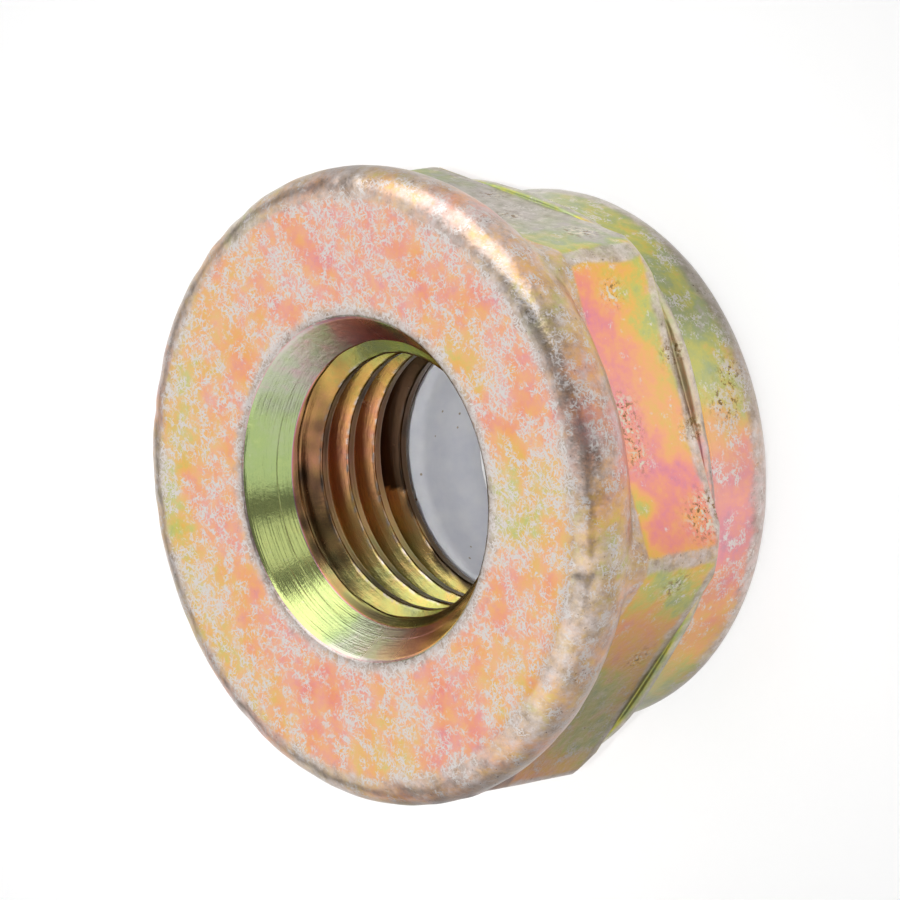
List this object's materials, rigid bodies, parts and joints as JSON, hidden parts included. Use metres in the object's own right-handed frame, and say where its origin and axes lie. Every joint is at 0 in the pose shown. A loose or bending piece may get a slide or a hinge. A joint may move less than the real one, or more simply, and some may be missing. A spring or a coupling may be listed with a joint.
{
  "type": "flanged lock nut",
  "caption": "Flanged hexagon lock nut with a countersunk left-hand threaded bore, a round collar and a nylon locking ring, for clamping a trimmer blade.",
  "frame": {"origin": "centre of the collar's rolled end, where the thread axis meets the surface that the nut stands on", "axes": "+Z along the thread axis, from the collar's end up to the clamping face; two corners of the hexagon lie on X"},
  "size_m": [0.0216, 0.0216, 0.0107],
  "materials": {
    "zinc_plated_steel": "yellow zinc plated, worn",
    "nylon": "natural white nylon"
  },
  "bodies": {
    "root": {"nut_body": "zinc_plated_steel", "nylon_ring": "nylon"}
  },
  "joints": []
}
